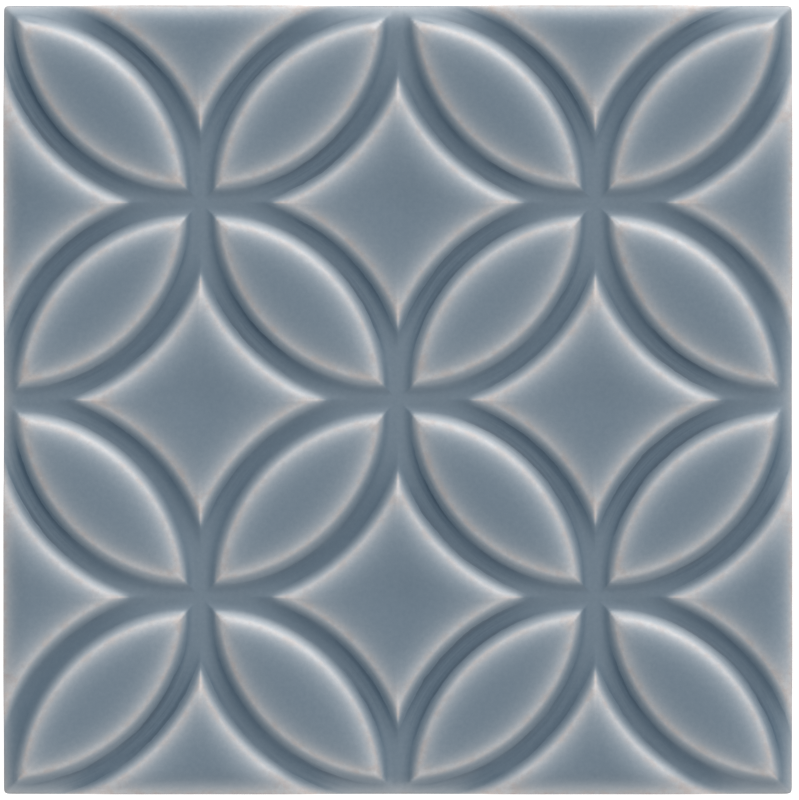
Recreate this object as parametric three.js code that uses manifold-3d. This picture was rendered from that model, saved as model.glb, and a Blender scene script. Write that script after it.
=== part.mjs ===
// A square wall tile, dust pressed and glazed in one piece, with its face up.
//
// The face carries a grid of overlapping circles. Each circle is a rounded groove, and the grooves leave
// pointed petals along the diagonals and four-pointed stars between them. The four sides are straight,
// with a rounded upper arris and a small chamfer below. The back is flat, with shallow recesses that give
// tile adhesive a key.
//
// Millimetres, +Z up. The origin is the centre of the back face, and the sides run along X and Y.
import * as THREE from "three";
import { mergeVertices, toCreasedNormals } from "three/addons/utils/BufferGeometryUtils.js";
import Module from "manifold-3d";

// The pressed body
const tileSide = 148;
const tileThickness = 10;
const cornerRadius = 0.8;
const upperArrisRadius = 1.6;
const lowerChamfer = 0.6;

// The relief, whose circles stand on every second crossing of a square grid
const gridCells = 4;
const grooveDepth = 2;
const grooveMouthWidth = 7.2;
const grooveFloorWidth = 3.2;
const crestRadius = 1.2;
const footRadius = 1;

// The adhesive key in the back
const keyRecesses = 6;
const keyDepth = 0.6;
const keyRibWidth = 5;
const keyMargin = 9;
const keyCornerRadius = 2;

// How finely round shapes are divided
const stepsInQuarterCircle = 10;
const stepsInFillet = 2;
const stepsInArris = 4;
const stepsInCorner = 3;
const creaseAngle = THREE.MathUtils.degToRad(50);

// How far a cutting shape stands out of what it cuts
const cutterRise = 1;

const halfSide = tileSide / 2;
const cell = tileSide / gridCells;

const wasm = await Module();
wasm.setup();

// A closed geometry, as a solid that can be joined and cut.
function solidOf(geometry) {
  geometry.deleteAttribute("normal");
  geometry.deleteAttribute("uv");
  const merged = mergeVertices(geometry);
  return new wasm.Manifold(
    new wasm.Mesh({
      numProp: 3,
      vertProperties: merged.attributes.position.array,
      triVerts: new Uint32Array(merged.index.array),
    }),
  );
}

// A solid, as a geometry whose fine facets are shaded smooth.
function geometryOf(solid) {
  const mesh = solid.getMesh();
  const geometry = new THREE.BufferGeometry()
    .setAttribute("position", new THREE.BufferAttribute(mesh.vertProperties, 3))
    .setIndex(new THREE.BufferAttribute(mesh.triVerts, 1));
  return toCreasedNormals(geometry, creaseAngle);
}

// A closed outline through the corners [x, y, radius, steps], each rounded by an arc that touches both sides.
function roundedOutline(corners) {
  return corners.flatMap(([x, y, radius = 0, steps = 1], index) => {
    const corner = new THREE.Vector2(x, y);
    if (!radius) return [corner];
    const [beforeX, beforeY] = corners.at(index - 1);
    const [afterX, afterY] = corners[(index + 1) % corners.length];
    const back = new THREE.Vector2(beforeX, beforeY).sub(corner).normalize();
    const on = new THREE.Vector2(afterX, afterY).sub(corner).normalize();
    const halfAngle = Math.acos(back.dot(on)) / 2;
    const centre = back.clone().add(on).setLength(radius / Math.sin(halfAngle)).add(corner);
    const start = corner.clone().addScaledVector(back, radius / Math.tan(halfAngle));
    const turn = (Math.PI - 2 * halfAngle) * Math.sign(on.cross(back));
    return Array.from({ length: steps + 1 }, (_, step) =>
      start.clone().rotateAround(centre, (turn * step) / steps),
    );
  });
}

// An outline pushed along +Z.
function extruded(outline, depth) {
  return new THREE.ExtrudeGeometry(new THREE.Shape(outline), { depth, bevelEnabled: false });
}

// The bar whose section is the tile's own, and whose length runs through the tile along Y.
function sectionBar() {
  const bar = extruded(
    roundedOutline([
      [-halfSide + lowerChamfer, 0],
      [halfSide - lowerChamfer, 0],
      [halfSide, lowerChamfer],
      [halfSide, tileThickness, upperArrisRadius, stepsInArris],
      [-halfSide, tileThickness, upperArrisRadius, stepsInArris],
      [-halfSide, lowerChamfer],
    ]),
    tileSide + 2 * cutterRise,
  );
  return bar.translate(0, 0, -halfSide - cutterRise).rotateX(Math.PI / 2);
}

// The plan of the tile, as a column that stands out above and below.
function planColumn() {
  const column = extruded(
    roundedOutline(
      [
        [-halfSide, -halfSide],
        [halfSide, -halfSide],
        [halfSide, halfSide],
        [-halfSide, halfSide],
      ].map(([x, y]) => [x, y, cornerRadius, stepsInCorner]),
    ),
    tileThickness + 2 * cutterRise,
  );
  return column.translate(0, 0, -cutterRise);
}

// The body before its relief: what both section bars and the plan have in common.
function plainBody() {
  const alongY = solidOf(sectionBar());
  const alongX = solidOf(sectionBar().rotateZ(Math.PI / 2));
  return alongY.intersect(alongX).intersect(solidOf(planColumn()));
}

// The ring that cuts one circular groove, standing on Z.
function grooveRing() {
  const floorHeight = tileThickness - grooveDepth;
  const wallRun = (grooveMouthWidth - grooveFloorWidth) / 2;
  const wallAngle = Math.atan2(grooveDepth, wallRun);
  const flatStart = grooveMouthWidth / 2 + crestRadius * Math.tan(wallAngle / 2);
  const half = [
    [grooveFloorWidth / 2, floorHeight, footRadius, stepsInFillet],
    [grooveMouthWidth / 2, tileThickness, crestRadius, stepsInFillet],
    [flatStart, tileThickness],
    [flatStart, tileThickness + cutterRise],
  ];
  const otherHalf = half.map(([offset, ...rest]) => [-offset, ...rest]).reverse();
  const outline = roundedOutline([...half, ...otherHalf]).map((point) => point.setX(point.x + cell));
  const ring = new THREE.LatheGeometry([...outline, outline[0]], 4 * stepsInQuarterCircle);
  return solidOf(ring.rotateX(Math.PI / 2));
}

// Every circle of the pattern: a ring on each crossing of the grid where the two counts add up to an odd one.
function circleGrooves() {
  const ring = grooveRing();
  const rings = [];
  for (let column = 0; column <= gridCells; column++) {
    for (let row = 0; row <= gridCells; row++) {
      if ((column + row) % 2 === 0) continue;
      rings.push(ring.translate([column * cell - halfSide, row * cell - halfSide, 0]));
    }
  }
  return rings;
}

// The shallow recesses of the back, side by side between ribs.
function keyCutters() {
  const keyLength = tileSide - 2 * keyMargin;
  const keyWidth = (keyLength - (keyRecesses - 1) * keyRibWidth) / keyRecesses;
  const recess = extruded(
    roundedOutline(
      [
        [-keyWidth / 2, -keyLength / 2],
        [keyWidth / 2, -keyLength / 2],
        [keyWidth / 2, keyLength / 2],
        [-keyWidth / 2, keyLength / 2],
      ].map(([x, y]) => [x, y, keyCornerRadius, stepsInCorner]),
    ),
    keyDepth + cutterRise,
  );
  const cutter = solidOf(recess.translate(0, 0, -cutterRise));
  const pitch = keyWidth + keyRibWidth;
  return Array.from({ length: keyRecesses }, (_, index) =>
    cutter.translate([(index - (keyRecesses - 1) / 2) * pitch, 0, 0]),
  );
}

// The fired tile: one solid with its relief, its sides and its back.
function reliefTile() {
  const solid = [...circleGrooves(), ...keyCutters()].reduce((body, cutter) => body.subtract(cutter), plainBody());
  const glaze = new THREE.MeshStandardMaterial({ color: 0x7c90a2, roughness: 0.12, metalness: 0 });
  const mesh = new THREE.Mesh(geometryOf(solid), glaze);
  mesh.name = "relief_tile";
  return mesh;
}

const part = new THREE.Group();
part.add(reliefTile());

export default part;
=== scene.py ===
# The looks of a square wall tile, dust pressed with overlapping circles and dipped in a translucent glaze.
#
# Metres, +Z up. The tile lies face up with the middle of its back at the origin, and +Y is the top of the
# picture. The glaze is thin and pale on every crest and arris, and deep blue-grey where it has pooled.
import math

import bpy
import numpy as np
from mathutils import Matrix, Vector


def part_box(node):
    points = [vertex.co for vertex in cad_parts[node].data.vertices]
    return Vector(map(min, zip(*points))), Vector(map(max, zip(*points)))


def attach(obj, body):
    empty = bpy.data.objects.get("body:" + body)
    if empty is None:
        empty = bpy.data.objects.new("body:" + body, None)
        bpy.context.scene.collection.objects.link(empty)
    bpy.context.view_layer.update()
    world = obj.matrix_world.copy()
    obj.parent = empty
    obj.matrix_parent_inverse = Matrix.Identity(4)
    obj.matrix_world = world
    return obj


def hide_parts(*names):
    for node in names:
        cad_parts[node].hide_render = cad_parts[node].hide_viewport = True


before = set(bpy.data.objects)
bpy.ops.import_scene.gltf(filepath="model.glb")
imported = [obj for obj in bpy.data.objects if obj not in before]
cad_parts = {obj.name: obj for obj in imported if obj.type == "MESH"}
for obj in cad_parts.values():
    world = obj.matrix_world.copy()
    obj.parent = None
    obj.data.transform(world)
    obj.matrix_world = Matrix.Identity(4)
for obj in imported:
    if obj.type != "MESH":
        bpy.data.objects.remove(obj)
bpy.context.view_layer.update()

# The pressed body, whose outer size is the frame's own. The powers are those of superellipses.
low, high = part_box("relief_tile")
SIDE = high.x - low.x
THICKNESS = high.z - low.z
HALF_SIDE = SIDE / 2
ARRIS_WIDTH = 0.0052
ARRIS_DROP = 0.0018
ARRIS_POWER_ACROSS = 2.2
ARRIS_POWER_DOWN = 1.25
CORNER_POWER = 14
LOWER_CHAMFER = 0.0006

# The relief, whose circles stand on every second crossing of a square grid. A groove's section is given by
# its slope at a distance from its middle, and a curve is what the slope gains in a metre.
GRID_CELLS = 4
CELL = SIDE / GRID_CELLS
FLOOR_CURVE = 427
FOOT = 0.0016
FOOT_ROUNDING = 0.00055
WALL_SLOPE = 0.053
WALL_CURVE = 641
CREST = 0.0029
CREST_ROUNDING = 0.00043
PETAL_SHOULDER = {"slope": 0.707, "fade": 0.00219, "dish": 0.0}
STAR_SHOULDER = {"slope": 0.594, "fade": 0.00436, "dish": -0.158}

# How far the middle of a petal and of a star lies from the nearest circle's line, in cells
PETAL_MIDDLE = 1 - math.sqrt(0.5)
STAR_MIDDLE = math.sqrt(2) - 1

# The hips, where the shoulders of two grooves meet
PETAL_HIP_ROUNDING = 0.00045
STAR_HIP_ROUNDING = 0.0002
HIP_SOFTENING = 14
HIP_FILLING = 0.28

# The adhesive key in the back
KEY_RECESSES = 6
KEY_DEPTH = 0.0006
KEY_RIB = 0.005
KEY_MARGIN = 0.009
KEY_CORNER = 0.002
KEY_WALL = 0.0004
KEY_LENGTH = SIDE - 2 * KEY_MARGIN
KEY_WIDTH = (KEY_LENGTH - (KEY_RECESSES - 1) * KEY_RIB) / KEY_RECESSES

# How deep the glaze lies on the crest's line, the wall and the land, as a share of its depth in a pool
CREST_LINE = 0.0035
CREST_GLAZE = 0.14
WALL_GLAZE = 0.745
WALL_GLAZE_POWER = 1.2
LAND_GLAZE = 0.605
LAND_GLAZE_FADE = 0.0024

# How much it thins at the tips, in the crossings and over the arris, and how far that reaches
STAR_TIP_BREAK = 0.95
PETAL_TIP_BREAK = 0.6
TIP_BREAK_START = 0.0019
TIP_BREAK_FULL = 0.0026
TIP_BREAK_WIDTH = 0.0006
TIP_BREAK_REACH = 0.0008
CROSSING_THINNING = 0.25
CROSSING_REACH = 0.0060
ARRIS_BREAK = 0.86
ARRIS_BREAK_REACH = 0.0024
ARRIS_BREAK_POWER = 1.45
GROOVE_KEEPS = 0.2

# How finely the surface is divided
STEPS_ALONG_GROOVE = 36
STRETCHES_FROM_GROOVE = (0, 0.0011, 0.0020, 0.0043, 0.0066)
STEPS_ON_STRETCHES = (2, 8, 11, 4)
STEPS_TO_PETAL_MIDDLE = 4
STEPS_TO_STAR_MIDDLE = 7
FACE_EDGE_ON_ARRIS = 0.75
STEPS_ON_ARRIS = 7
STEPS_ON_SIDE = 4
LINES_AT_KEY_WALL = (-1.5, -0.5, 0.5, 1.5)

# How finely curves are measured, and what counts as the same
SECTION_REACH = 0.018
SECTION_STEPS = 1800
ARRIS_STEPS = 180
NORMAL_STEP = 0.00002
MERGE_WITHIN = 1e-6
GAP_DIGITS = 9


def logistic(value):
    """1 / (1 + e^-value), which goes from 0 to 1."""
    return np.exp(-np.logaddexp(0, -value))


def smooth_step(start, end, value):
    """3t^2 - 2t^3 of the share t of the way from start to end."""
    t = np.clip((value - start) / (end - start), 0, 1)
    return t * t * (3 - 2 * t)


def circle_distances(x, y):
    """How far each point lies from the nearest circle's line and from the next, and if it is in a petal.

    The distance to a circle's line is |r - CELL|. A point in a petal lies inside the circle nearest to it,
    and one in a star outside.
    """
    counts = range(GRID_CELLS + 1)
    centres = [(i, j) for i in counts for j in counts if (i + j) % 2]
    radii = [np.hypot(x - i * CELL + HALF_SIDE, y - j * CELL + HALF_SIDE) for i, j in centres]
    outside = np.stack(radii) - CELL
    order = np.argsort(np.abs(outside), axis=0)[:2]
    first, second = np.take_along_axis(outside, order, axis=0)
    return np.abs(first), np.abs(second), first < 0


def section(shoulder):
    """Distances from a circle's line, and the height of the relief there over the groove's floor.

    The slope grows evenly over the hollow floor and faster up the wall. At the crest it goes over to a
    shoulder's, which dies away exponentially. Both changes are logistic steps, and the height is the slope's
    running sum.
    """
    d = np.linspace(0, SECTION_REACH, SECTION_STEPS + 1)
    slope = FLOOR_CURVE * d
    wall = WALL_SLOPE + WALL_CURVE * (d - FOOT)
    dying = shoulder["slope"] * np.exp(-(d - CREST) / shoulder["fade"]) + shoulder["dish"]
    slope += (wall - slope) * logistic((d - FOOT) / FOOT_ROUNDING)
    slope += (dying - slope) * logistic((d - CREST) / CREST_ROUNDING)
    rise = (slope[1:] + slope[:-1]) / 2 * d[1]
    return d, np.concatenate([[0], np.cumsum(rise)])


def arris_share(points):
    """How far over the arris each point lies: 0 where it starts, 1 on the tile's outline.

    Both coordinates' shares are joined by a superellipse, so that the outline's corners are rounded.
    """
    share = np.clip((np.abs(points) - HALF_SIDE + ARRIS_WIDTH) / ARRIS_WIDTH, 0, 1)
    return np.clip((share**CORNER_POWER).sum(axis=1) ** (1 / CORNER_POWER), 0, 1)


def arris_fall(share):
    """How far the arris has fallen at a share of its width: drop * (1 - (1 - share^a)^(1/b))."""
    return ARRIS_DROP * (1 - (1 - share**ARRIS_POWER_ACROSS) ** (1 / ARRIS_POWER_DOWN))


def way_to_side(points):
    """The way over the surface from each point to the top of the side, where the arris ends.

    It is the rest of the arris's curve, added up in small steps, and the level way to the arris before that.
    """
    share = np.sin(np.linspace(0, math.pi / 2, ARRIS_STEPS + 1))
    paces = np.hypot(np.diff(share * ARRIS_WIDTH), np.diff(arris_fall(share)))
    rest = np.append(np.cumsum(paces[::-1])[::-1], 0)
    level = np.clip(HALF_SIDE - ARRIS_WIDTH - np.abs(points).max(axis=1), 0, None)
    return level + np.interp(arris_share(points), share, rest)


def from_groove(first, second, in_petal):
    """The distance from the middle of the nearest groove, rounded where two walls meet in a hip.

    It is a soft minimum of the two circles' distances, -k ln(e^(-first/k) + e^(-second/k)). Its reach k is
    greater in a petal than in a star. It grows with the square of the first distance, so that the hips die
    away towards the middle, and down the wall below the crest.
    """
    reach = np.where(in_petal, PETAL_HIP_ROUNDING, STAR_HIP_ROUNDING)
    reach = reach + HIP_SOFTENING * first**2 + HIP_FILLING * np.clip(CREST - first, 0, None)
    return np.clip(first - reach * np.logaddexp(0, (first - second) / reach), 0, None)


def relief_height(points):
    """The height of the face over a plan point, with the tile's full thickness at a petal's middle."""
    first, second, in_petal = circle_distances(*points.T)
    d = from_groove(first, second, in_petal)
    petal = section(PETAL_SHOULDER)
    star = section(STAR_SHOULDER)
    middle = CELL * PETAL_MIDDLE
    floor = THICKNESS - np.interp(from_groove(middle, middle, True), *petal)
    relief = np.where(in_petal, np.interp(d, *petal), np.interp(d, *star))
    return floor + relief - arris_fall(arris_share(points))


def face_normals(points):
    """The upward normals of the face over plan points, from the height a hair's breadth to each side."""
    across, up = np.array([NORMAL_STEP, 0]), np.array([0, NORMAL_STEP])
    slope_x = (relief_height(points + across) - relief_height(points - across)) / (2 * NORMAL_STEP)
    slope_y = (relief_height(points + up) - relief_height(points - up)) / (2 * NORMAL_STEP)
    normals = np.column_stack([-slope_x, -slope_y, np.ones(len(points))])
    return normals / np.linalg.norm(normals, axis=1, keepdims=True)


def glaze_depth(points, to_side):
    """How deep the glaze lies, 1 being about a pool in a groove.

    It is thinnest on one line along each crest. Down the wall it grows as 1 - share^power of the way up, and
    on the land as 1 - e^-(way past the line). The hip on which two shoulders meet at a tip thins it further,
    most of all on a star, and so does the middle of a crossing, by a bell curve. The arris thins it by a
    stretched exponential of the way over the surface to the side, but less in a groove.
    """
    first, second, in_petal = circle_distances(*points.T)
    d = from_groove(first, second, in_petal)
    up_wall = np.clip((d - FOOT) / (CREST_LINE - FOOT), 0, 1)
    on_wall = WALL_GLAZE * (1 - up_wall**WALL_GLAZE_POWER)
    past_line = np.clip(d - CREST_LINE, 0, None)
    on_land = LAND_GLAZE * (1 - np.exp(-past_line / LAND_GLAZE_FADE))
    on_hip = np.exp(-(second - first) / TIP_BREAK_WIDTH - past_line / TIP_BREAK_REACH)
    tip_break = np.where(in_petal, PETAL_TIP_BREAK, STAR_TIP_BREAK)
    at_tip = on_hip * smooth_step(TIP_BREAK_START, TIP_BREAK_FULL, d) * tip_break
    in_crossing = CROSSING_THINNING * at_crossing(first, second)
    near_side = np.exp(-((to_side / ARRIS_BREAK_REACH) ** ARRIS_BREAK_POWER))
    at_arris = ARRIS_BREAK * near_side * (1 - GROOVE_KEEPS * (1 - up_wall))
    depth = np.hypot(on_wall + on_land, CREST_GLAZE)
    return depth * (1 - at_tip) * (1 - in_crossing) * (1 - at_arris)


def at_crossing(first, second):
    """A bell curve that is 1 in the middle of a crossing, from the distances to the two circles."""
    return np.exp(-(first**2 + second**2) / CROSSING_REACH**2)


def side_of_groove(points):
    """The distance from the middle of the nearest groove, less than 0 on the petal's side of it."""
    first, second, in_petal = circle_distances(*points.T)
    return from_groove(first, second, in_petal) * np.where(in_petal, -1, 1)


def groove_radii():
    """Radii about a circle's centre, in cells, closest together on the walls and crests of the groove."""
    stretches = zip(STRETCHES_FROM_GROOVE, STRETCHES_FROM_GROOVE[1:], STEPS_ON_STRETCHES)
    rows = [np.linspace(start, end, steps + 1)[1:] for start, end, steps in stretches]
    outward = np.concatenate(rows) / CELL
    to_petal_middle = 1 - np.linspace(outward[-1], PETAL_MIDDLE, STEPS_TO_PETAL_MIDDLE + 1)[1:]
    to_star_middle = 1 + np.linspace(outward[-1], STAR_MIDDLE, STEPS_TO_STAR_MIDDLE + 1)[1:]
    return np.sort(np.concatenate([to_petal_middle, 1 - outward, [1], 1 + outward, to_star_middle]))


def quarter_of_cell():
    """Points in cells and triangles over one quarter of a cell, in polar rows about the circle's centre.

    The quarter has its corners at the cell's even corner, odd corner and middle. Rows of equal radius are
    held between the cell's diagonal, r = 1 / (cos a + sin a), and its side, r = 1 / cos a, so each row ends
    on them and the mesh follows the groove. The angles are closest together at the crossing, where a = 0.
    """
    share = np.linspace(0, 1, STEPS_ALONG_GROOVE + 1)
    angle = (math.pi / 4) * (share + share**2) / 2
    radius = groove_radii()
    a, r = np.meshgrid(angle, radius, indexing="ij")
    r = np.clip(r, 1 / (np.cos(a) + np.sin(a)), 1 / np.cos(a))
    points = np.stack([r * np.cos(a), r * np.sin(a)], axis=-1).reshape(-1, 2)
    return points, grid_triangles(len(angle), len(radius))


def grid_triangles(rows, columns):
    """Two triangles for each square of a grid whose points are numbered row by row."""
    corner = (np.arange(rows - 1)[:, None] * columns + np.arange(columns - 1)).ravel()
    first = np.stack([corner, corner + columns, corner + columns + 1], axis=1)
    second = np.stack([corner, corner + columns + 1, corner + 1], axis=1)
    return np.concatenate([first, second])


def face_plan():
    """Plan points and triangles of the whole face: the quarter, mirrored over each cell and the tile."""
    points, triangles = quarter_of_cell()
    x, y = points.T
    mirrored = [(x, y), (y, x), (1 - y, 1 - x), (1 - x, 1 - y)]
    plans = []
    for column in range(GRID_CELLS):
        for row in range(GRID_CELLS):
            for across, up in mirrored:
                if (column + row) % 2 == 0:
                    across = 1 - across
                plans.append(np.stack([column + across, row + up], axis=1) * CELL - HALF_SIDE)
    all_triangles = [triangles + index * len(points) for index in range(len(plans))]
    return merged(np.concatenate(plans), np.concatenate(all_triangles))


def merged(points, triangles):
    """Points that coincide made one, triangles that lost a corner dropped, and the rest turned face up."""
    keys = np.round(points / MERGE_WITHIN).astype(np.int64)
    _, kept, owner = np.unique(keys, axis=0, return_index=True, return_inverse=True)
    points = points[kept]
    triangles = owner.ravel()[triangles]
    a, b, c = triangles.T
    triangles = triangles[(a != b) & (b != c) & (c != a)]
    edge_1 = points[triangles[:, 1]] - points[triangles[:, 0]]
    edge_2 = points[triangles[:, 2]] - points[triangles[:, 0]]
    clockwise = edge_1[:, 0] * edge_2[:, 1] < edge_1[:, 1] * edge_2[:, 0]
    triangles[clockwise] = triangles[clockwise][:, ::-1]
    return points, triangles


def drawn_inside(points, inset):
    """Points moved inward near the tile's edge, so that the face ends at an inset from the outline.

    Each coordinate is kept up to a band along the edge, and the band is squeezed evenly to its new width.
    """
    band = 2 * ARRIS_WIDTH
    start = HALF_SIDE - band
    away = np.abs(points)
    squeezed = start + (away - start) * (band - inset) / band
    return np.where(away > start, np.sign(points) * squeezed, points)


def corners_rounded(points):
    """Points near a corner drawn in, so that each square loop there becomes a superellipse."""
    inner = HALF_SIDE - ARRIS_WIDTH
    away = np.abs(points)
    beyond = np.clip(away - inner, 0, None)
    largest = beyond.max(axis=1)
    norm = (beyond**CORNER_POWER).sum(axis=1) ** (1 / CORNER_POWER)
    share = np.divide(largest, norm, out=np.ones_like(norm), where=norm > 0)
    return np.sign(points) * (np.minimum(away, inner) + beyond * share[:, None])


def band_triangles(upper, lower):
    """Two triangles for each step between two closed loops of as many points."""
    upper_next = np.roll(upper, -1)
    lower_next = np.roll(lower, -1)
    return np.concatenate(
        [np.stack([upper, lower, lower_next], axis=1), np.stack([upper, lower_next, upper_next], axis=1)]
    )


def halving_triangles(upper, lower):
    """Three triangles for each step between a closed loop and one of half as many points below it."""
    first = upper[0::2]
    middle = upper[1::2]
    last = np.roll(first, -1)
    lower_next = np.roll(lower, -1)
    return np.concatenate(
        [
            np.stack([first, lower, middle], axis=1),
            np.stack([middle, lower, lower_next], axis=1),
            np.stack([middle, lower_next, last], axis=1),
        ]
    )


def key_lines():
    """The grid lines over the back, across and along the ribs, with a few at each wall of a recess.

    There are as many as make its rim half as finely divided as the edge of the face.
    """
    starts = -KEY_LENGTH / 2 + np.arange(KEY_RECESSES) * (KEY_WIDTH + KEY_RIB)
    edge = HALF_SIDE - LOWER_CHAMFER
    at_wall = np.array(LINES_AT_KEY_WALL) * KEY_WALL
    walls = np.sort(np.concatenate([starts, starts + KEY_WIDTH]))
    across = (walls[:, None] + at_wall).ravel()
    along = (np.array([-KEY_LENGTH / 2, KEY_LENGTH / 2])[:, None] + at_wall).ravel()
    count = GRID_CELLS * STEPS_ALONG_GROOVE // 2 + 1
    return tuple(filled_lines(np.concatenate([[-edge], lines, [edge]]), count) for lines in (across, along))


def filled_lines(lines, count):
    """Grid lines made up to a count, by halving the widest gap until there are enough."""
    lines = np.sort(lines)
    while len(lines) < count:
        widest = np.argmax(np.diff(lines).round(GAP_DIGITS))
        lines = np.insert(lines, widest + 1, lines[widest : widest + 2].mean())
    return lines


def back_height(x, y):
    """The height of the back: 0 on the ribs, and a smooth step up to the key's depth inside each recess.

    The distance into a recess is that of a rounded rectangle: the corner radius less the length of what a
    point lies beyond the rectangle drawn in by that radius.
    """
    pitch = KEY_WIDTH + KEY_RIB
    nearest = np.clip(np.round(x / pitch - 0.5), -KEY_RECESSES / 2, KEY_RECESSES / 2 - 1)
    beyond_x = np.abs(x - (nearest + 0.5) * pitch) - (KEY_WIDTH / 2 - KEY_CORNER)
    beyond_y = np.abs(y) - (KEY_LENGTH / 2 - KEY_CORNER)
    outside = np.hypot(np.clip(beyond_x, 0, None), np.clip(beyond_y, 0, None))
    inside = np.clip(np.maximum(beyond_x, beyond_y), None, 0)
    into = KEY_CORNER - outside - inside
    return KEY_DEPTH * smooth_step(-KEY_WALL / 2, KEY_WALL / 2, into)


def round_order(plan):
    """The order of points on a square's edge, counterclockwise from the corner of least x and y."""
    turn = np.arctan2(plan[:, 1], plan[:, 0]) + 0.75 * math.pi
    return np.argsort((turn + MERGE_WITHIN) % (2 * math.pi))


def key_grid():
    """The back as a rectangular grid: points, triangles facing down, and the numbers of its rim in order."""
    across, along = key_lines()
    x, y = (axis.ravel() for axis in np.meshgrid(across, along, indexing="ij"))
    rows, columns = len(across), len(along)
    triangles = grid_triangles(rows, columns)[:, ::-1]
    rim = np.flatnonzero(np.maximum(np.abs(x), np.abs(y)) > across[-1] - MERGE_WITHIN)
    points = np.column_stack([x, y, back_height(x, y)])
    return points, triangles, rim[round_order(points[rim])]


def tile_surface():
    """The tile as one closed surface: points, triangles, and the glaze's depth at each point.

    The last number returned says how many points are the face's, which come first. The face reaches part of
    the way over the arris, and rings that close up towards its end carry it on to the side. Rows then run
    straight down to the chamfer, where every second point is left out, and a grid closes the back.
    """
    square, triangles = face_plan()
    edge = np.flatnonzero(np.abs(square).max(axis=1) > HALF_SIDE - MERGE_WITHIN)
    edge = edge[round_order(square[edge])]
    loop = square[edge]

    plan = corners_rounded(drawn_inside(square, ARRIS_WIDTH * (1 - FACE_EDGE_ON_ARRIS)))
    points = [np.column_stack([plan, relief_height(plan)])]
    depths = [glaze_depth(plan, way_to_side(plan))]
    faces = [triangles]
    last = edge
    count = len(plan)

    def add_row(plan_row, height, depth, joined_by):
        nonlocal last, count
        row = np.arange(count, count + len(plan_row))
        points.append(np.column_stack([plan_row, np.broadcast_to(height, len(row))]))
        depths.append(depth)
        faces.append(joined_by(last, row))
        last = row
        count += len(row)

    for turn in np.linspace(math.asin(FACE_EDGE_ON_ARRIS), math.pi / 2, STEPS_ON_ARRIS + 1)[1:]:
        half_width = HALF_SIDE - ARRIS_WIDTH * (1 - math.sin(turn))
        ring = corners_rounded(loop * (half_width / HALF_SIDE))
        height = relief_height(ring)
        add_row(ring, height, glaze_depth(ring, way_to_side(ring)), band_triangles)

    top_of_side = height
    for step in range(1, STEPS_ON_SIDE + 1):
        down = (top_of_side - LOWER_CHAMFER) * step / (STEPS_ON_SIDE + 1)
        add_row(ring, top_of_side - down, glaze_depth(ring, down), band_triangles)

    back, back_triangles, rim = key_grid()
    outline = back[rim, :2] / (HALF_SIDE - LOWER_CHAMFER)
    foot = corners_rounded(outline * HALF_SIDE)
    add_row(foot, LOWER_CHAMFER, glaze_depth(foot, (top_of_side - LOWER_CHAMFER)[::2]), halving_triangles)

    back[rim, :2] = corners_rounded(outline * (HALF_SIDE - LOWER_CHAMFER))
    points.append(back)
    depths.append(np.ones(len(back)))
    faces.append(back_triangles + count)
    faces.append(band_triangles(last, rim + count))
    return np.concatenate(points), np.concatenate(faces), np.concatenate(depths), len(plan)


def new_piece(name, points, faces):
    """A smooth mesh object at the origin from points and faces."""
    mesh = bpy.data.meshes.new(name)
    mesh.from_pydata(points, [], faces)
    mesh.polygons.foreach_set("use_smooth", np.ones(len(faces), bool))
    mesh.update()
    piece = bpy.data.objects.new(name, mesh)
    bpy.context.scene.collection.objects.link(piece)
    return piece


def dipped_tile():
    """The tile's whole surface, with attributes that tell its material how the glaze lies.

    The face is shaded by the normals of its formula, and the rest by those of the mesh.
    """
    points, triangles, depth, face_count = tile_surface()
    piece = new_piece("dipped_tile", points, triangles)
    normals = np.empty(points.size, np.float32)
    piece.data.vertex_normals.foreach_get("vector", normals)
    normals = normals.reshape(-1, 3)
    normals[:face_count] = face_normals(points[:face_count, :2])
    piece.data.normals_split_custom_set_from_vertices(normals)
    plan = points[:, :2]
    for name, values in {
        "glaze_depth": depth,
        "from_groove": side_of_groove(plan),
        "from_crossing": 1 - at_crossing(*circle_distances(*plan.T)[:2]),
    }.items():
        attribute = piece.data.attributes.new(name, "FLOAT", "POINT")
        attribute.data.foreach_set("value", values.astype(np.float32))
    piece.data.materials.append(translucent_glaze())
    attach(piece, "root")
    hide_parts("relief_tile")


# The glaze's colours: what bare clay shows, what one full depth of glaze lets through, and what rust takes
CLAY_UNDER_GLAZE = (0.520, 0.500, 0.515)
THROUGH_FULL_DEPTH = (0.0675, 0.1323, 0.2034)
RUST_TAKES = (0.03, 0.11, 0.16)
FULL_RUST_DEPTH = 0.13
NO_RUST_DEPTH = 0.30
GLAZE_IOR = 1.52

# The pool of glaze at the foot of a groove's wall, whose dark line there is partly painted shade in the
# crease
FOOT_POOL_AND_SHADE = 0.32
FOOT_POOL_AND_SHADE_WIDTH = 0.00009
FOOT_WANDER = 0.00022

# The lower edge of the glaze, the bare clay below it, and how rough each of them is
GLAZE_FOOT = 0.0026
GLAZE_EDGE = 0.0001
BISCUIT_PALE = (0.66, 0.58, 0.49, 1)
BISCUIT_DARK = (0.52, 0.43, 0.34, 1)
BISCUIT_ROUGHNESS = 0.85
PIT_DEPTH = 0.00012
RIPPLE_HEIGHT = 0.000006

# Noise textures: their scale is features to the metre
BISCUIT_GRAIN = {"scale": 1500, "detail": 5, "roughness": 0.65}
RIPPLES = {"scale": 140}
STREAK_DRIFT = {"scale": 45}
STREAK_DRIFT_REACH = 0.002

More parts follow.
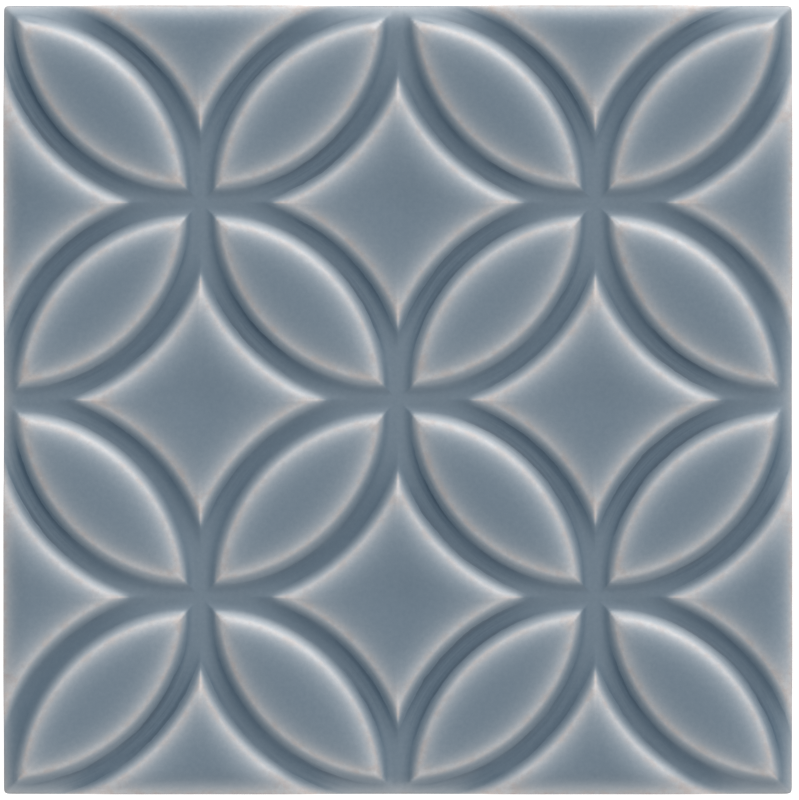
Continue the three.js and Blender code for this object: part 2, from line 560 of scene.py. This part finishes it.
# What noise makes uneven: the band of the noise is spread from low to high
USUAL_BAND = (0.3, 0.7)
GRAIN_BAND = (0.35, 0.65)
CLOUDS = {"scale": 14, "low": 0.96, "high": 1.04}
BREAK_UP = {"scale": 1100, "detail": 4, "roughness": 0.8, "band": GRAIN_BAND, "low": -0.022, "high": 0.022}
RUST_PATCHES = {"scale": 380, "detail": 5, "roughness": 0.7, "band": (0.45, 0.60), "low": 0, "high": 1}
FOOT_LINE = {
    "scale": 130,
    "detail": 4,
    "roughness": 0.6,
    "low": FOOT - FOOT_WANDER,
    "high": FOOT + FOOT_WANDER,
}
STREAKS = {"scale": 1700, "detail": 3, "roughness": 0.6, "low": -0.11, "high": 0.11}
POOL_AND_SHADE_PATCHES = {"scale": 60, "band": (0.38, 0.62), "low": 0, "high": 1}
GLAZE_WAVER = {"scale": 120, "detail": 3, "low": -0.0009, "high": 0.0009}
GLAZE_ROUGHNESS = {"scale": 30, "low": 0.07, "high": 0.10}


class NodeBench:
    """The node tree of a material or a world, with short ways to add what the finishes here use."""

    def __init__(self, owner):
        owner.use_nodes = True
        self.tree = owner.node_tree
        self.tree.nodes.clear()

    def add(self, kind, **settings):
        node = self.tree.nodes.new(kind)
        for setting, value in settings.items():
            setattr(node, setting, value)
        return node

    def feed(self, socket, value):
        """A link where the value is another node's socket, and otherwise the socket's own number."""
        if isinstance(value, bpy.types.NodeSocket):
            self.tree.links.new(value, socket)
        else:
            socket.default_value = value

    def math(self, operation, *values):
        node = self.add("ShaderNodeMath", operation=operation)
        for socket, value in zip(node.inputs, values):
            self.feed(socket, value)
        return node.outputs[0]

    def place(self):
        """The place on the piece, in its own space."""
        return self.add("ShaderNodeTexCoord").outputs["Object"]

    def own(self, name):
        """A number that the piece's mesh holds at each point."""
        return self.add("ShaderNodeAttribute", attribute_name=name).outputs["Fac"]

    def seen_by_camera(self):
        """1 for what the camera sees straight, and 0 for what only lights or reflects."""
        return self.add("ShaderNodeLightPath").outputs["Is Camera Ray"]

    def noise(self, scale, detail=2, roughness=0.5, where=None):
        """Noise with `scale` features to the metre, over the piece's own space unless a place is given."""
        node = self.add("ShaderNodeTexNoise")
        self.feed(node.inputs["Vector"], where or self.place())
        self.feed(node.inputs["Scale"], scale)
        self.feed(node.inputs["Detail"], detail)
        self.feed(node.inputs["Roughness"], roughness)
        return node.outputs["Fac"]

    def spread(self, value, from_low, from_high, to_low, to_high):
        """The value carried evenly from one range to another, and held to the ends of the second."""
        node = self.add("ShaderNodeMapRange", clamp=True)
        for socket, number in zip(node.inputs, (value, from_low, from_high, to_low, to_high)):
            self.feed(socket, number)
        return node.outputs[0]

    def uneven(self, low, high, band=USUAL_BAND, **texture):
        """A number from low to high that noise makes uneven, held to them where the noise leaves the band."""
        return self.spread(self.noise(**texture), *band, low, high)

    def blend(self, share, first, second, data_type="FLOAT"):
        """Evenly from the first value, where the share is 0, to the second, where it is 1."""
        node = self.add("ShaderNodeMix", data_type=data_type)
        self.feed(node.inputs["Factor"], share)
        self.feed(node.inputs["A"], first)
        self.feed(node.inputs["B"], second)
        return node.outputs["Result"]

    def end_in(self, kind, shader):
        """The tree's output node, which takes a shader."""
        self.feed(self.add(kind).inputs["Surface"], shader.outputs[0])


def pooled_and_shaded_share(bench):
    """How much deeper than its even layer the glaze has pooled.

    It is greatest at the foot of a wall, where it ends in a crisp line that wanders, and falls off with the
    square of the way to the groove's middle. That dark line at the foot is partly pooled glaze and partly
    painted shade in the crease. Fine streaks run along the groove up to the crest. Both come and go in
    patches, and there are none in a crossing.
    """
    side = bench.own("from_groove")
    away = bench.math("ABSOLUTE", side)
    inside_line = bench.math("SUBTRACT", bench.uneven(**FOOT_LINE), away)
    # Painted shade: the dark line at each wall's foot stands partly for shade in the crease, painted as extra
    # glaze depth
    step = bench.spread(inside_line, -FOOT_POOL_AND_SHADE_WIDTH / 2, FOOT_POOL_AND_SHADE_WIDTH / 2, 0, FOOT_POOL_AND_SHADE)
    towards_foot = bench.math("POWER", bench.math("DIVIDE", away, FOOT), 2)
    pool_and_shade = bench.math("MULTIPLY", step, towards_foot)

    across = bench.add("ShaderNodeCombineXYZ")
    drift = bench.math("MULTIPLY", bench.noise(**STREAK_DRIFT), STREAK_DRIFT_REACH)
    bench.feed(across.inputs["X"], side)
    bench.feed(across.inputs["Y"], drift)
    streaks = bench.uneven(**STREAKS, where=across.outputs[0])
    in_groove = bench.spread(away, FOOT, CREST_LINE, 1, 0)
    pooled_and_shaded = bench.math("ADD", pool_and_shade, bench.math("MULTIPLY", streaks, in_groove))
    shown = bench.math("MULTIPLY", bench.uneven(**POOL_AND_SHADE_PATCHES), bench.own("from_crossing"))
    return bench.math("MULTIPLY", pooled_and_shaded, shown)


def glaze_colour(bench):
    """Clay seen through the glaze: clay colour times transmission to the power of the depth, each channel.

    The glaze's depth is clouded, pooled, deepened at the walls' feet as painted shade, and finely broken
    up. Where it is least, patches of rust from the clay take a share of the light, most of it from the blue.
    """
    varied = bench.math("ADD", bench.uneven(**CLOUDS), pooled_and_shaded_share(bench))
    layer = bench.math("MULTIPLY", bench.own("glaze_depth"), varied)
    depth = bench.math("MAXIMUM", bench.math("ADD", layer, bench.uneven(**BREAK_UP)), 0)
    thin = bench.spread(depth, FULL_RUST_DEPTH, NO_RUST_DEPTH, 1, 0)
    rust = bench.math("MULTIPLY", thin, bench.uneven(**RUST_PATCHES))
    colour = bench.add("ShaderNodeCombineColor")
    for socket, clay, through, taken in zip(colour.inputs, CLAY_UNDER_GLAZE, THROUGH_FULL_DEPTH, RUST_TAKES):
        passed = bench.math("EXPONENT", bench.math("MULTIPLY", depth, math.log(through)))
        left = bench.math("SUBTRACT", clay, bench.math("MULTIPLY", rust, clay * taken))
        bench.feed(socket, bench.math("MULTIPLY", passed, left))
    return colour.outputs[0]


def translucent_glaze():
    """Gloss glaze over the face and sides, ending in an uneven line above the bare fired foot and back."""
    glaze = bpy.data.materials.new("translucent_glaze")
    bench = NodeBench(glaze)
    place = bench.add("ShaderNodeSeparateXYZ")
    bench.feed(place.inputs[0], bench.place())
    height = bench.math("ADD", place.outputs["Z"], bench.uneven(**GLAZE_WAVER))
    covered = bench.spread(height, GLAZE_FOOT - GLAZE_EDGE, GLAZE_FOOT + GLAZE_EDGE, 0, 1)

    grain = bench.noise(**BISCUIT_GRAIN)
    biscuit = bench.blend(bench.spread(grain, *GRAIN_BAND, 0, 1), BISCUIT_DARK, BISCUIT_PALE, "RGBA")
    colour = bench.blend(covered, biscuit, glaze_colour(bench), "RGBA")
    roughness = bench.blend(covered, BISCUIT_ROUGHNESS, bench.uneven(**GLAZE_ROUGHNESS))
    shader = bench.add("ShaderNodeBsdfPrincipled")
    bench.feed(shader.inputs["Base Color"], colour)
    bench.feed(shader.inputs["Roughness"], roughness)
    bench.feed(shader.inputs["IOR"], GLAZE_IOR)

    pits = bench.math("MULTIPLY", grain, PIT_DEPTH)
    ripples = bench.math("MULTIPLY", bench.noise(**RIPPLES), RIPPLE_HEIGHT)
    bump = bench.add("ShaderNodeBump")
    bench.feed(bump.inputs["Distance"], 1)
    bench.feed(bump.inputs["Height"], bench.blend(covered, pits, ripples))
    bench.feed(shader.inputs["Normal"], bump.outputs["Normal"])
    bench.end_in("ShaderNodeOutputMaterial", shader)
    return glaze


# The picture, and where the tile lies in it
PICTURE_WIDTH = 799
PICTURE_HEIGHT = 800
TILE_SIDE_PIXELS = 790.4
TILE_MIDDLE_PIXELS = (397.9, 399.8)
LENS = 400.0
SENSOR = 36.0
CAMERA_REACH = 100

# The studio, whose floor and room look equally pale
PALE = 0.85
FLOOR_GREY = (0.5, 0.5, 0.5, 1)
FLOOR_ROUGHNESS = 0.9
FLOOR_SIDE = 8.0
FLOOR_GAP = 0.0002
FLOOR_UNDER_TILE = 0.002
LIGHT_COLOUR = (0.996, 0.98, 0.949, 1)
GLOWS = [
    {"azimuth": 64, "elevation": 14.5, "sharpness": 6.8, "radiance": 4.86},
    {"azimuth": 249, "elevation": 21, "sharpness": 8.8, "radiance": 1.71},
    {"azimuth": 32, "elevation": 76, "sharpness": 4.15, "radiance": 0.91},
    {"azimuth": 123, "elevation": 20, "sharpness": 5.85, "radiance": 1.77},
    {"azimuth": -60, "elevation": 28.5, "sharpness": 8.9, "radiance": 1.78},
    {"azimuth": 0, "elevation": -90, "sharpness": 4.0, "radiance": 1.1},
]


def pale_floor():
    """A matt floor that the camera sees evenly pale, and sees through from below."""
    paint = bpy.data.materials.new("pale_floor")
    bench = NodeBench(paint)
    shader = bench.add("ShaderNodeBsdfPrincipled")
    bench.feed(shader.inputs["Base Color"], FLOOR_GREY)
    bench.feed(shader.inputs["Roughness"], FLOOR_ROUGHNESS)
    bench.feed(shader.inputs["Emission Color"], (1, 1, 1, 1))
    bench.feed(shader.inputs["Emission Strength"], bench.math("MULTIPLY", bench.seen_by_camera(), PALE))
    one_sided = bench.add("ShaderNodeMixShader")
    bench.feed(one_sided.inputs[0], bench.add("ShaderNodeNewGeometry").outputs["Backfacing"])
    bench.feed(one_sided.inputs[1], shader.outputs[0])
    bench.feed(one_sided.inputs[2], bench.add("ShaderNodeBsdfTransparent").outputs[0])
    bench.end_in("ShaderNodeOutputMaterial", one_sided)
    return paint


def studio_floor():
    """The plain floor around the tile: a square frame of four faces, a hair below the tile's back.

    It is open under the tile, so that the back can be seen, and reaches a little way under its sides.
    """
    square = np.array([(-1, -1), (1, -1), (1, 1), (-1, 1)])
    plan = np.concatenate([square * FLOOR_SIDE / 2, square * (HALF_SIDE - FLOOR_UNDER_TILE)])
    corners = np.column_stack([plan, np.full(len(plan), -FLOOR_GAP)])
    outer, inner = np.arange(len(plan)).reshape(2, -1)
    sides = np.stack([outer, np.roll(outer, -1), np.roll(inner, -1), inner], axis=1)
    floor = new_piece("studio_floor", corners, sides)
    floor.data.materials.append(pale_floor())


def photo_camera():
    """A long lens straight above the tile, placed so that the tile fills the picture as in the photograph."""
    camera = bpy.data.cameras.new("photo_camera")
    camera.lens = LENS
    camera.sensor_width = SENSOR
    camera.clip_end = CAMERA_REACH
    metres_to_pixel = SIDE / TILE_SIDE_PIXELS
    distance = metres_to_pixel * PICTURE_HEIGHT * LENS / SENSOR
    right = (PICTURE_WIDTH / 2 - TILE_MIDDLE_PIXELS[0]) * metres_to_pixel
    up = (TILE_MIDDLE_PIXELS[1] - PICTURE_HEIGHT / 2) * metres_to_pixel
    stand = bpy.data.objects.new("photo_camera", camera)
    stand.location = (right, up, THICKNESS + distance)
    bpy.context.scene.collection.objects.link(stand)
    bpy.context.scene.camera = stand


def sky_direction(azimuth, elevation):
    """The unit vector towards a place in the sky. Azimuth is counterclockwise from +X, seen from above."""
    turn, rise = math.radians(azimuth), math.radians(elevation)
    return math.cos(turn) * math.cos(rise), math.sin(turn) * math.cos(rise), math.sin(rise)


def studio_light():
    """Broad soft glows in a dark room, each fading as e^(sharpness (cos angle - 1)) from its middle."""
    world = bpy.data.worlds.new("studio")
    bench = NodeBench(world)
    towards = bench.add("ShaderNodeTexCoord").outputs["Generated"]
    radiance = 0
    for glow in GLOWS:
        alike = bench.add("ShaderNodeVectorMath", operation="DOT_PRODUCT")
        bench.feed(alike.inputs[0], towards)
        bench.feed(alike.inputs[1], sky_direction(glow["azimuth"], glow["elevation"]))
        fall = bench.math("MULTIPLY", bench.math("SUBTRACT", alike.outputs["Value"], 1), glow["sharpness"])
        lobe = bench.math("MULTIPLY", bench.math("EXPONENT", fall), glow["radiance"])
        radiance = bench.math("ADD", radiance, lobe)
    background = bench.add("ShaderNodeBackground")
    bench.feed(background.inputs["Color"], LIGHT_COLOUR)
    bench.feed(background.inputs["Strength"], bench.blend(bench.seen_by_camera(), radiance, PALE))
    bench.end_in("ShaderNodeOutputWorld", background)
    bpy.context.scene.world = world
    bpy.context.scene.view_settings.view_transform = "Standard"


photo_camera()
studio_light()
studio_floor()
dipped_tile()
